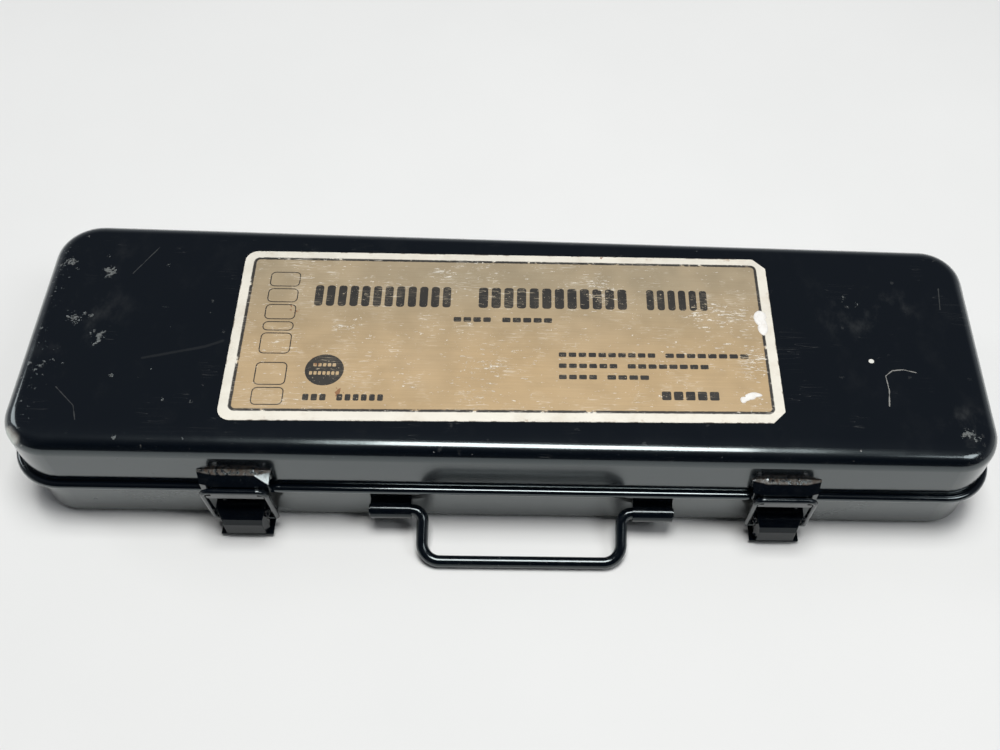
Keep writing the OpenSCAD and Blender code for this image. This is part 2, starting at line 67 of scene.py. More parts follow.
def add_camera():
    """A camera high in front of the case, turned 7 degrees to the right and rolled 7 degrees."""
    lens = bpy.data.cameras.new("camera")
    lens.sensor_width = 36
    lens.lens = LENS_MM
    lens.shift_x, lens.shift_y = LENS_SHIFT
    lens.clip_start = 0.01
    camera = bpy.data.objects.new("camera", lens)
    bpy.context.scene.collection.objects.link(camera)
    turn = Matrix.Rotation(math.radians(CAMERA_TURN), 4, "Z")
    tip = Matrix.Rotation(math.radians(90 - CAMERA_DIP), 4, "X")
    roll = Matrix.Rotation(math.radians(CAMERA_ROLL), 4, "Z")
    camera.matrix_world = Matrix.Translation(CAMERA_PLACE) @ turn @ tip @ roll
    bpy.context.scene.camera = camera


def add_softbox(name, place, size, watts, tint=(1, 1, 1)):
    """A square area light at a place in metres, aimed at the middle of the case."""
    light = bpy.data.lights.new(name, "AREA")
    light.size = size
    light.energy = watts
    light.color = tint
    lamp = bpy.data.objects.new(name, light)
    bpy.context.scene.collection.objects.link(lamp)
    lamp.location = place
    lamp.rotation_euler = (-lamp.location).to_track_quat("-Z", "Y").to_euler()


def add_room():
    """A room whose rear wall is bright low down and whose front is dark; straight on it is pale."""
    world = bpy.data.worlds.new("room")
    world.use_nodes = True
    bpy.context.scene.world = world
    nodes = world.node_tree.nodes
    links = world.node_tree.links
    nodes.clear()
    way = nodes.new("ShaderNodeTexCoord")
    split = nodes.new("ShaderNodeSeparateXYZ")
    links.new(way.outputs["Generated"], split.inputs[0])
    ramp = nodes.new("ShaderNodeValToRGB")
    for element, (height, tone) in zip(ramp.color_ramp.elements, (ROOM_LOW, ROOM_HIGH)):
        element.position = height
        element.color = tone
    links.new(split.outputs["Z"], ramp.inputs[0])
    depth = nodes.new("ShaderNodeMapRange")
    depth.inputs["From Min"].default_value = -0.75
    depth.inputs["From Max"].default_value = 0.1
    depth.inputs["To Min"].default_value = 0.06
    links.new(split.outputs["Y"], depth.inputs["Value"])
    dim = nodes.new("ShaderNodeBackground")
    links.new(ramp.outputs[0], dim.inputs["Color"])
    links.new(depth.outputs[0], dim.inputs["Strength"])
    pale = nodes.new("ShaderNodeBackground")
    pale.inputs["Color"].default_value = BACKDROP
    seen = nodes.new("ShaderNodeLightPath")
    mix = nodes.new("ShaderNodeMixShader")
    links.new(seen.outputs["Is Camera Ray"], mix.inputs["Fac"])
    links.new(dim.outputs[0], mix.inputs[1])
    links.new(pale.outputs[0], mix.inputs[2])
    end = nodes.new("ShaderNodeOutputWorld")
    links.new(mix.outputs[0], end.inputs["Surface"])


def add_floor(material):
    """A level square sheet under the case."""
    corners = [(x * FLOOR_REACH, y * FLOOR_REACH, 0) for x, y in ((-1, -1), (1, -1), (1, 1), (-1, 1))]
    mesh = bpy.data.meshes.new("floor")
    mesh.from_pydata(corners, [], [(0, 1, 2, 3)])
    mesh.materials.append(material)
    floor = bpy.data.objects.new("floor", mesh)
    bpy.context.scene.collection.objects.link(floor)


# ---------- shader arithmetic ----------

class Signal:
    """A number carried by a shader link; every operator adds the Math node that works it out."""

    def __init__(self, finish, socket):
        self.finish = finish
        self.socket = socket

    def __add__(self, other):
        return self.finish.math("ADD", self, other)

    def __sub__(self, other):
        return self.finish.math("SUBTRACT", self, other)

    def __rsub__(self, other):
        return self.finish.math("SUBTRACT", other, self)

    def __mul__(self, other):
        return self.finish.math("MULTIPLY", self, other)

    def __pow__(self, other):
        return self.finish.math("POWER", self, other)

    def __abs__(self):
        return self.finish.math("ABSOLUTE", self)

    __radd__ = __add__
    __rmul__ = __mul__

    def least(self, other):
        return self.finish.math("MINIMUM", self, other)

    def most(self, other):
        return self.finish.math("MAXIMUM", self, other)

    def rise(self, low, high):
        """0 below low and 1 above high, with a smooth step between.

        With low above high it is the other way round: 1 below high and 0 above low."""
        settings = {"interpolation_type": "SMOOTHSTEP"}
        inputs = {"Value": self, "From Min": low, "From Max": high}
        return self.finish.node("ShaderNodeMapRange", settings, inputs)


class Finish:
    """A material in the making, with the object's coordinates in millimetres."""

    def __init__(self, name):
        self.material = bpy.data.materials.new(name)
        self.material.use_nodes = True
        self.tree = self.material.node_tree
        self.tree.nodes.clear()
        self.place = self.node("ShaderNodeTexCoord", out="Object")
        split = self.node("ShaderNodeSeparateXYZ", inputs={0: self.place}, out=None)
        self.x, self.y, self.z = (Signal(self, port) * (1 / MM) for port in split.outputs)

    def node(self, kind, settings=None, inputs=None, out=0):
        """Adds a node: its settings first, then the values or links of its sockets."""
        made = self.tree.nodes.new(kind)
        for key, value in (settings or {}).items():
            setattr(made, key, value)
        for key, value in (inputs or {}).items():
            if isinstance(value, Signal):
                self.tree.links.new(value.socket, made.inputs[key])
            else:
                made.inputs[key].default_value = value
        return made if out is None else Signal(self, made.outputs[out])

    def math(self, operation, *values):
        """One Math node on numbers or signals."""
        inputs = dict(enumerate(values))
        return self.node("ShaderNodeMath", {"operation": operation}, inputs)

    def spot(self, size, stretch=(1, 1, 1), turn=(0, 0, 0)):
        """The object's coordinates, scaled so that one unit is size millimetres long."""
        scale = tuple(1 / (size * MM * s) for s in stretch)
        inputs = {"Vector": self.place, "Scale": scale, "Rotation": turn}
        return self.node("ShaderNodeMapping", {}, inputs)

    def cloud(self, size, detail=3, rough=0.55, stretch=(1, 1, 1), turn=(0, 0, 0)):
        """Soft noise between about 0.2 and 0.8, whose lumps are size millimetres across."""
        place = self.spot(size, stretch, turn)
        inputs = {"Vector": place, "Scale": 1, "Detail": detail, "Roughness": rough}
        return self.node("ShaderNodeTexNoise", {}, inputs)

    def specks(self, size, share, reach, ragged=0.25):
        """Small ragged spots: one cell of size millimetres in every 1 / share has one."""
        place = self.spot(size)
        jitter = self.node("ShaderNodeTexNoise", {}, {"Vector": place, "Scale": 5, "Detail": 3})
        cells = self.node("ShaderNodeTexVoronoi", {}, {"Vector": place, "Scale": 1}, out=None)
        away = Signal(self, cells.outputs["Distance"]) + (jitter - 0.5) * ragged * 2
        tints = Signal(self, cells.outputs["Color"])
        parts = self.node("ShaderNodeSeparateColor", {}, {0: tints}, out=None)
        lot, size_lot = Signal(self, parts.outputs[0]), Signal(self, parts.outputs[1])
        here = lot.rise(share, share * 0.98)
        return here * away.rise(reach * (0.4 + size_lot), reach * (0.3 + 0.7 * size_lot))

    def scratches(self, length, width, turn, share=0.5):
        """Thin lines: where stretched noise crosses its middle value, broken up by a second noise."""
        lines = self.cloud(length, detail=1, stretch=(1, 0.06, 1), turn=(0, 0, turn))
        near = abs(lines - 0.5).rise(width, width * 0.3)
        gaps = self.cloud(length * 0.8, detail=2, turn=(0, 0, turn + 1))
        return near * gaps.rise(1 - share, 1 - share + 0.06)

    def stroke(self, points, width):
        """A line through points on the plan, in millimetres: 1 within width of it and 0 beyond."""
        away = None
        for (ax, ay), (bx, by) in zip(points, points[1:]):
            run_x, run_y = bx - ax, by - ay
            along = ((self.x - ax) * run_x + (self.y - ay) * run_y) * (1 / (run_x ** 2 + run_y ** 2))
            along = along.most(0).least(1)
            off_x = self.x - ax - along * run_x
            off_y = self.y - ay - along * run_y
            off = self.math("SQRT", off_x * off_x + off_y * off_y)
            away = off if away is None else away.least(off)
        away = away + (self.cloud(3, 3) - 0.5) * 0.6
        return away.rise(width, width * 0.3)

    def blot(self, x, y, across, up):
        """A soft oval centred on the plan: 1 in its middle and 0 from its edge on."""
        off_x = (self.x - x) * (1 / across)
        off_y = (self.y - y) * (1 / up)
        return self.math("SQRT", off_x * off_x + off_y * off_y).rise(1, 0.25)

    def mix(self, share, first, second):
        """One colour turning into another as share goes from 0 to 1."""
        first = (*first, 1) if isinstance(first, tuple) else first
        second = (*second, 1) if isinstance(second, tuple) else second
        settings = {"data_type": "RGBA"}
        return self.node("ShaderNodeMix", settings, {"Factor": share, 6: first, 7: second}, out=2)

    def bump(self, height, depth):
        """A bump whose full height is depth millimetres."""
        inputs = {"Height": height, "Distance": depth * MM, "Strength": 1}
        return self.node("ShaderNodeBump", {}, inputs)

    def finish(self, **sockets):
        """Joins the shader to the material's output. Names are the sockets', with _ for a space."""
        inputs = {key.replace("_", " "): value for key, value in sockets.items()}
        for key, value in inputs.items():
            if key in ("Base Color", "Specular Tint") and isinstance(value, tuple):
                inputs[key] = (*value, 1)
        shader = self.node("ShaderNodeBsdfPrincipled", {}, inputs)
        self.node("ShaderNodeOutputMaterial", {}, {"Surface": shader}, out=None)
        return self.material


# ---------- finishes ----------

ENAMEL = (0.0016, 0.0030, 0.0056)
GLOSS_TINT = (0.82, 0.97, 1.0)
# a grey for dust and scratches, also painted on the pan's front wall as a reflection of the floor
DUST_AND_REFLECTION_GREY = (0.16, 0.165, 0.16)
BARE_STEEL = (0.55, 0.54, 0.52)
RUST = (0.075, 0.038, 0.018)


def case_enamel():
    """Black stove enamel on the shells: gloss, orange peel, scuffs, lost patches and scratches, with a
    painted floor reflection lightening the pan's front wall.
    """
    f = Finish("case_enamel")
    top = f.z.rise(46.5, 48.8)
    left_end = f.x.rise(-168, -180)
    front_edge = f.y.rise(-44, -50) * f.z.rise(40, 46)

    # enamel lost in ragged patches, mostly near the left end
    places = [
        (-178, 31, 7, 9), (-162, 28, 8, 8), (-168, 5, 8, 9), (-159, -5, 7, 8), (-173, -22, 10, 20),
        (134, 22, 9, 8), (172, -41, 9, 8),
    ]
    ground = f.blot(*places[0])
    for place in places[1:]:
        ground = ground.most(f.blot(*place))
    grain = f.cloud(4.2, 6, 0.72)
    patches = (grain + ground * 0.19).rise(0.735, 0.775) * f.cloud(0.9, 3).rise(0.3, 0.5)
    pits = f.specks(3.4, 0.05, 0.2, 0.5) * (0.25 + 0.75 * f.x.rise(-100, -140))
    end_nicks = (f.cloud(1.9, 5, 0.7, (1, 0.5, 1)) + left_end * 0.1).rise(0.735, 0.76) * left_end

    # lines: fine ones everywhere, a hair-thin hook and a few long ones
    fine = f.scratches(30, 0.006, 0.5, 0.4).most(f.scratches(22, 0.007, 2.1, 0.36))
    bend = [(142.8, -28.5), (143.9, -21), (143.5, -14.2), (146.5, -11.6), (151, -11), (156, -12.3)]
    hook = f.stroke(bend, 0.28)
    long_lines = f.stroke([(-152, 27), (-144.5, 41)], 0.25)
    long_lines = long_lines.most(f.stroke([(172.6, 31), (171.4, 20)], 0.3))
    long_lines = long_lines.most(f.stroke([(-168, -28), (-160, -36), (-158, -42)], 0.25))
    long_lines = long_lines.most(f.stroke([(-140, -14), (-118, -8), (-112, -5)], 0.8) * 0.25)
    outside = f.z.rise(48.6, 48.95)
    hook, long_lines = hook * outside, long_lines * outside
    white_dot = f.blot(138.8, -7.2, 1.4, 1.3).rise(0.1, 0.35) * outside

    # dull haze where hands and tools have rubbed
    haze = f.cloud(16, 5, 0.65, (1, 1.5, 1), (0, 0, 0.4)).rise(0.5, 0.76)
    handled = f.blot(140, 20, 28, 24).most(f.blot(172, -38, 16, 14))
    handled = handled.most(f.blot(-170, 10, 26, 50) * 0.7)
    smudge = haze * (0.12 + handled * 0.88) * top

    # bare metal on edges
    near_rim = abs(f.z - (SEAM_Z - 1.9)).rise(1.2, 0.4)
    rim_chips = f.cloud(1.7, 5, 0.7).rise(0.63, 0.67) * near_rim
    corner = abs(f.x + 179.6).rise(4.6, 2) * abs(f.y + 47.6).rise(3.8, 1.6)
    corner = corner * abs(f.z - 44.2).rise(4.6, 2)
    corner = corner * f.cloud(2.4).rise(0.26, 0.38)
    edge_chips = (f.cloud(1.6, 5, 0.7) + front_edge * 0.05).rise(0.735, 0.755) * front_edge
    bare = rim_chips.most(corner).most(edge_chips * 0.7)

    lost = (patches * 0.75).most(pits * 0.5).most(end_nicks * 0.8)
    # painted reflection: below the seam the pan's front wall is mixed towards the grey so that it
    # looks lit by the bright floor it reflects; the same mix also carries the real lost enamel,
    # scratches and smudges
    painted_floor_reflection = f.z.rise(SEAM_Z - 1, SEAM_Z - 4) * f.y.rise(-48, -52)
    dusty = lost.most(fine * 0.2).most(long_lines * 0.26).most(smudge * 0.15).most(painted_floor_reflection * 0.42)
    painted = f.mix(dusty, ENAMEL, DUST_AND_REFLECTION_GREY)
    rusty = f.mix(f.cloud(2.2, 4).rise(0.4, 0.65), BARE_STEEL, (0.23, 0.16, 0.11))
    color = f.mix(bare, painted, rusty)
    color = f.mix(white_dot.most(hook * 0.36).most(corner * 0.85), color, (0.75, 0.75, 0.70))
    front = f.y.rise(-42, -49) * f.z.rise(SEAM_Z + 3, SEAM_Z + 9)
    shade = 0.1 + front * 0.07 + smudge * 0.18 + lost * 0.4 + bare * 0.3
    shade = shade + f.cloud(60).rise(0.4, 0.7) * 0.03
    sunk = f.cloud(2.2, 2, 0.5) * 0.012 + f.cloud(48, 1, 0.4) * 0.8 - bare * 0.05 - lost * 0.03
    coat = (0.5 - bare.most(lost) * 0.5 - smudge * 0.2).most(0)
    return f.finish(
        Base_Color=color, Roughness=shade.least(0.8), Metallic=bare * 0.8, Normal=f.bump(sunk, 1),
        IOR=1.72, Specular_Tint=GLOSS_TINT, Coat_Weight=coat, Coat_Roughness=0.08, Coat_IOR=1.5,
    )


def fitting_enamel(name, worn, gloss=1, low=(0, 0), rub=(0, 0)):
    """The same enamel on bent sheet and wire, thin on its edges, with brown patches where pieces rub.

    low and rub are pairs of heights in millimetres, and a foot's or a rubbed lip's wear is between."""
    f = Finish(name)
    blotch = f.cloud(3.4, 5, 0.65)
    chips = f.cloud(1.2, 5, 0.72).rise(0.715, 0.74) * worn
    lip = blotch * 0
    if rub[1] > rub[0]:
        lip = f.z.rise(rub[0] - 0.5, rub[0]) * f.z.rise(rub[1] + 0.5, rub[1])
        lip = lip * f.cloud(1.5, 5, 0.7).rise(0.4, 0.54)
    foot = f.z.rise(low[1], low[0]) if low[1] > low[0] else blotch * 0
    bare = (chips * 0.7).most(foot * f.cloud(1.5, 4, 0.7).rise(0.66, 0.7) * 0.5)
    rusty = lip.most(f.cloud(1.9, 5, 0.7).rise(0.66, 0.72) * worn * 0.5)
    color = f.mix(blotch.rise(0.45, 0.75) * 0.3, ENAMEL, (0.011, 0.012, 0.014))
    color = f.mix(f.scratches(9, 0.02, 1.2, 0.35) * 0.12, color, DUST_AND_REFLECTION_GREY)
    color = f.mix(rusty * 0.7, color, rust_tone(f))
    color = f.mix(bare, color, BARE_STEEL)
    shade = 0.13 + blotch.rise(0.4, 0.8) * 0.12 + rusty * 0.42 + bare * 0.2
    normal = f.bump(blotch * 0.05 - bare * 0.05 + rusty * f.cloud(0.7) * 0.1, 1)
    return f.finish(
        Base_Color=color, Roughness=shade.least(0.8), Metallic=bare * 0.9, Normal=normal,
        IOR=1.45 + 0.25 * gloss, Specular_Tint=GLOSS_TINT, Specular_IOR_Level=0.5 * gloss,
        Coat_Weight=(0.5 - bare.most(rusty) * 0.5).most(0) * gloss, Coat_Roughness=0.1,
    )


def rust_tone(f):
    """Brown rust that turns grey where the steel still shows."""
    return f.mix(f.cloud(1.1, 4).rise(0.42, 0.6), RUST, (0.17, 0.15, 0.13))


def label_place(f):
    """The label's own axes in millimetres: along its length and across it, from its middle."""
    x = f.x - float(LABEL_MIDDLE[0])
    y = f.y - float(LABEL_MIDDLE[1])
    c, s = math.cos(LABEL_TILT), math.sin(LABEL_TILT)
    return x * c + y * s, y * c - x * s


def foil_wear(f):
    """Marks that cut through the label's print: nicks, crossing scratches and a few wide rubs."""
    busy = f.cloud(26, 3).rise(0.42, 0.66) * 0.5
    crowds = [
        (78, 14, 26, 10), (92, -10, 11, 13), (32, 24, 10, 13),
        (-66, 3, 9, 8), (-31, 31, 9, 6), (-9, -14, 12, 6),
    ]
    for crowd in crowds:
        busy = busy.most(f.blot(*crowd))
    nicks = (f.cloud(1.9, 6, 0.75) + busy * 0.07).rise(0.68, 0.695)
    wide = (f.cloud(3.2, 5, 0.7) + busy * 0.05).rise(0.69, 0.705)
    for turn, stretch in ((0.5, 0.2), (2.5, 0.24), (1.0, 0.22)):
        drawn_out = f.cloud(5, 5, 0.72, (1, stretch, 1), (0, 0, turn))
        wide = wide.most((drawn_out + busy * 0.07).rise(0.672, 0.687))
    lines = f.scratches(17, 0.016, 0.7, 0.45).most(f.scratches(12, 0.016, 2.5, 0.45))
    return nicks.most(wide).most(lines * (0.3 + busy * 0.7))


def label_foil():
    """Brushed gold foil panel inside a dark line and a pale border, scratched, stained and rubbed,
    with painted shade darkening and greying the gold towards the back.
    """
    f = Finish("label_foil")
    u, v = label_place(f)
    border = 4.1
    half_u, half_v, round_in = LABEL_HALF[0] - border, LABEL_HALF[1] - border, 2.2
    over_u = (abs(u + 0.2) - (half_u - round_in)).most(0)
    over_v = (abs(v - 0.4) - (half_v - round_in)).most(0)
    inside = f.math("SQRT", over_u ** 2 + over_v ** 2) - round_in
    ragged = (f.cloud(1.4, 4) - 0.5) * 0.35
    panel = (inside + ragged * 0.5).rise(0, -0.12)
    line = abs(inside + ragged + 0.1).rise(0.75, 0.4) * f.cloud(4, 5, 0.7).rise(0.33, 0.42)
    wear = foil_wear(f)
    # painted shade: the gold goes darker and greyer towards the back of the label, standing in for
    # light that falls from the front
    grey = v.rise(-18, 34)
    brushed = f.cloud(30, 5, 0.6, (1, 0.012, 1))
    gold = f.mix(grey, (0.50, 0.362, 0.200), (0.385, 0.318, 0.213))
    gold = f.mix(f.cloud(40, 4).rise(0.35, 0.7) * 0.35, gold, (0.56, 0.43, 0.27))
    gold = f.mix(brushed.rise(0.35, 0.65) * 0.18, gold, (0.30, 0.22, 0.13))
    pale = f.mix(f.cloud(9, 5, 0.65).rise(0.46, 0.72) * 0.25, (0.80, 0.77, 0.68), (0.52, 0.43, 0.31))
    color = f.mix(panel, pale, gold)
    color = f.mix(line * (1 - wear * 0.8), color, (0.035, 0.033, 0.03))
    color = f.mix(wear * 0.92, color, (0.90, 0.86, 0.76))
    stain = f.specks(11, 0.06, 0.12, 0.6) * 0.8
    edge = (abs(u) - LABEL_HALF[0]).most(abs(v) - LABEL_HALF[1])
    edge_stain = edge.rise(-2, -0.2) * f.cloud(8, 5, 0.7).rise(0.58, 0.7)
    dark_edge = edge.rise(-0.4, -0.1) * f.cloud(3, 4).rise(0.5, 0.62)
    color = f.mix(stain, color, (0.22, 0.085, 0.03))
    color = f.mix(edge_stain * 0.7, color, (0.33, 0.2, 0.1))
    color = f.mix(dark_edge * 0.8, color, (0.08, 0.055, 0.035))
    rough = 0.42 + f.cloud(12, 4).rise(0.35, 0.7) * 0.14 - wear * 0.08 + stain * 0.3
    height = brushed * 0.006 - wear * 0.03 + f.cloud(26, 2) * 0.35 + f.cloud(6, 2) * 0.03
    return f.finish(
        Base_Color=color, Roughness=rough, Metallic=0.22 + panel * 0.12 - stain * 0.2,
        Normal=f.bump(height, 1), Coat_Weight=0.12, Coat_Roughness=0.25,
    )


def label_ink():
    """Flat black printing ink, cut through by the label's wear so that the foil shows."""
    f = Finish("label_ink")
    wear = foil_wear(f).most(f.cloud(1.1, 4, 0.7).rise(0.64, 0.68))
    faded = f.cloud(16, 4).rise(0.35, 0.7) * 0.3
    color = f.mix(faded, (0.012, 0.011, 0.010), (0.06, 0.05, 0.035))
    color = f.mix(wear * 0.85, color, (0.66, 0.56, 0.40))
    return f.finish(
        Base_Color=color, Roughness=0.5 - wear * 0.1, Metallic=wear * 0.2,
        Normal=f.bump(f.cloud(26, 2) * 0.35 - wear * 0.02, 1),
    )


def dried_paint():
    """White paint splashes, slightly yellowed and grubby."""
    f = Finish("dried_paint")
    grime = f.cloud(2.4, 5, 0.65).rise(0.45, 0.7)
    color = f.mix(grime * 0.3, (0.83, 0.82, 0.79), (0.52, 0.46, 0.38))
    lumps = f.bump(f.cloud(1.2, 4), 0.08)
    return f.finish(Base_Color=color, Roughness=0.45 + grime * 0.2, Normal=lumps)


def steel(name, color, rough, grain):
    """Bare or plated steel: fine tool marks, finger smears and a little tarnish in patches."""
    f = Finish(name)
    marks = f.cloud(grain, 4, 0.6, (1, 0.06, 1))
    smear = f.cloud(16, 4, 0.6).rise(0.4, 0.72)
    tarnish = f.cloud(7, 5, 0.7).rise(0.58, 0.74)
    dull = tuple(0.45 * c for c in color)
    tone = f.mix(tarnish * 0.35, color, dull)
    shade = rough + smear * rough * 0.8 + tarnish * 0.12 + marks * 0.05
    return f.finish(
        Base_Color=tone, Roughness=shade, Metallic=1.0 - tarnish * 0.12,
        Normal=f.bump(marks * 0.4 + f.cloud(9, 2), 0.015),
    )


def knurled_chrome():
    """Chrome on the ratchet: polished, with a diamond knurl on the grip between its end rings."""
    f = Finish("knurled_chrome")
    box = np.array([list(corner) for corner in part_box("ratchet_body")]) / MM
    axis_z = float(box[0, 2] + RATCHET_RISE)
    angle = f.math("ARCTAN2", f.y - RATCHET_Y, f.z - axis_z)
    grip = f.x.rise(GRIP_X[0], GRIP_X[0] + 1) * f.x.rise(GRIP_X[1], GRIP_X[1] - 1)
    starts, pitch = 30, 2.0        # ridges round the grip, and millimetres between them along it
    one = f.math("SINE", angle * starts + f.x * (2 * math.pi / pitch))
    two = f.math("SINE", angle * starts - f.x * (2 * math.pi / pitch))
    diamonds = one.least(two) * grip
    smear = f.cloud(18, 4).rise(0.4, 0.7)
    dirt = (diamonds.rise(-0.1, -0.8) * grip * 0.7).most(f.cloud(5, 5).rise(0.62, 0.75) * 0.3)
    color = f.mix(dirt, (0.72, 0.73, 0.75), (0.12, 0.11, 0.10))
    rough = 0.09 + smear * 0.1 + grip * 0.1 + dirt * 0.25
    cut = f.bump(diamonds, 0.18)
    return f.finish(Base_Color=color, Roughness=rough, Metallic=1 - dirt * 0.3, Normal=cut)


def rack_enamel():
    """Satin grey-black enamel on the insert, rubbed where the tools lie and dusty in its corners."""
    f = Finish("rack_enamel")
    rub = f.cloud(7, 5, 0.65).rise(0.55, 0.7) * f.z.rise(12, 14)
    dust = f.cloud(20, 5, 0.6).rise(0.42, 0.7)
    color = f.mix(dust * 0.4, (0.028, 0.030, 0.033), (0.10, 0.095, 0.085))
    color = f.mix(rub * 0.45, color, (0.24, 0.235, 0.225))
    rough = 0.32 + dust * 0.2 + rub * 0.1
    grain = f.bump(f.cloud(1.6), 0.03)
    return f.finish(Base_Color=color, Roughness=rough, Metallic=rub * 0.5, Normal=grain)


def floor_sheet():
    """A matt white table top with the faintest mottling."""
    f = Finish("floor_sheet")
    mottle = f.cloud(120, 3)
    color = f.mix(mottle.rise(0.3, 0.7), (0.762, 0.772, 0.770), (0.776, 0.786, 0.784))
    return f.finish(Base_Color=color, Roughness=0.7 + mottle * 0.1)


# ---------- mesh helpers ----------

def add_piece(name, points, faces, material, body, slot, smooth=True):
    """Makes a piece from points in millimetres and faces, and lets it ride on a body."""
    mesh = bpy.data.meshes.new(name)
    mesh.from_pydata((np.asarray(points) * MM).tolist(), [], faces)
    mesh.polygons.foreach_set("use_smooth", np.full(len(mesh.polygons), smooth))
    mesh.update()
    piece = bpy.data.objects.new(name, mesh)
    bpy.context.scene.collection.objects.link(piece)
    mesh.materials.append(material)
    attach(piece, body)
    return piece


def rounded_outline(low, high, radius, steps=6):
    """A rounded rectangle: four quarter circles of the radius in order, steps points on each."""
    angles = np.linspace(0, math.pi / 2, steps)
    turns = (np.arange(4)[:, None] * math.pi / 2 + angles[None, :]).ravel()
    low, high = np.asarray(low, float) + radius, np.asarray(high, float) - radius
    corners = np.array([high, (low[0], high[1]), low, (high[0], low[1])])
    middles = np.repeat(corners, steps, axis=0)
    return middles + radius * np.stack([np.cos(turns), np.sin(turns)], axis=1)


def on_label(points, height):
    """Turns points along and across the label into points of the frame, height above its face."""
    c, s = math.cos(LABEL_TILT), math.sin(LABEL_TILT)
    turned = points @ np.array([[c, s], [-s, c]]) + LABEL_MIDDLE
    return np.column_stack([turned, np.full(len(turned), LABEL_TOP + height)])


class Print:
    """Collects flat plates and rings of ink, to be made into one piece."""

    def __init__(self, base=-0.05, top=0.035):
        self.base, self.top = base, top
        self.points, self.faces, self.count = [], [], 0

    def keep(self, points, faces):
        self.points.append(points)
        self.faces += [[index + self.count for index in face] for face in faces]
        self.count += len(points)

    def plate(self, outline):
        """A plate: the outline at its base and at its top, walls between them and a cap on each."""
        n = len(outline)
        around = np.arange(n)
        walls = np.column_stack([around, (around + 1) % n, (around + 1) % n + n, around + n])
        caps = [list(range(n, 2 * n)), list(range(n - 1, -1, -1))]
        points = np.vstack([on_label(outline, self.base), on_label(outline, self.top)])
        self.keep(points, walls.tolist() + caps)

    def ring(self, outer, inner):
        """A ring: four loops joined in turn, outer base, outer top, inner top and inner base."""
        n = len(outer)
        around = np.arange(n)
        after = (around + 1) % n
        loops = [on_label(outer, self.base), on_label(outer, self.top)]
        loops += [on_label(inner, self.top), on_label(inner, self.base)]
        faces = []
        for first in range(4):
            a, b = first * n, (first + 1) % 4 * n
            faces += np.column_stack([around + a, after + a, after + b, around + b]).tolist()
        self.keep(np.vstack(loops), faces)

    def bars(self, start, end, middle, height, count, gap, radius):
        """A row of count equal bars from start to end, a gap apart."""
        wide = (end - start - gap * (count - 1)) / count
        for low in start + np.arange(count) * (wide + gap):
            corner = (low, middle - height / 2), (low + wide, middle + height / 2)
            self.plate(rounded_outline(*corner, min(radius, wide / 2.05)))

    def frame(self, low, high, radius, line):
        """A rounded frame drawn with a line of that width."""
        low, high = np.asarray(low, float), np.asarray(high, float)
        inner = rounded_outline(low + line, high - line, radius - line)
        self.ring(rounded_outline(low, high, radius), inner)

    def piece(self, name, material):
        points = np.vstack(self.points)
        return add_piece(name, points, self.faces, material, "lid", "label_foil", smooth=False)


def circle(middle, radius, steps=64):
    """Points evenly round a circle."""
    turn = np.arange(steps) * 2 * math.pi / steps
    return np.asarray(middle) + radius * np.stack([np.cos(turn), np.sin(turn)], axis=1)


def label_printing(ink, foil):
    """Plain bars, frames and a disc stand where the label carries its words and numbers."""
    bold = Print()
    for start, end, count in ((-76, -23, 6), (-12, 47, 6), (55, 79.5, 3)):
        bold.bars(start, end, 18.2, 10.4, count * 2, 1.35, 1.2)
    bold.piece("label_heading", ink)
    small = Print()
    for start, end, count in ((-21.5, -7, 4), (-2.5, 17, 5)):
        small.bars(start, end, 7.1, 2.3, count, 0.9, 0.5)
    rows = [
        (19.5, 57, 0), (61, 93.7, 0), (19.5, 42, 1), (46, 77.5, 1), (19.5, 34, 2), (38, 54, 2),
    ]
    for start, end, row in rows:
        small.bars(start, end, -9.6 - 5.3 * row, 2.1, round((end - start) / 3.9), 0.9, 0.45)
    for start, end, count in ((-75.5, -67, 3), (-63, -46, 6)):
        small.bars(start, end, -30.4, 2.9, count, 0.9, 0.5)
    small.bars(58.5, 80.5, -28.6, 4, 5, 1, 0.6)
    small.piece("label_small_print", ink)
    column = Print()
    frames = [(-34, -26), (-25, -14.5), (-10.5, -0.5), (0.5, 5), (6, 13.5), (14.5, 21.5), (22.5, 30)]
    for low, high in frames:
        column.frame((-94.2, low), (-82.5, high), 2, 0.4)
    column.piece("label_column", ink)
    seal = Print()
    seal.plate(circle((-68.7, -17.9), 7.2))
    seal.piece("label_seal", ink)
    lines = Print(0.03, 0.06)
    lines.bars(-73, -64.6, -15.6, 1.5, 5, 0.5, 0.3)
    lines.bars(-74.2, -63.2, -19.4, 1.6, 7, 0.5, 0.3)
    lines.piece("label_seal_lines", foil)


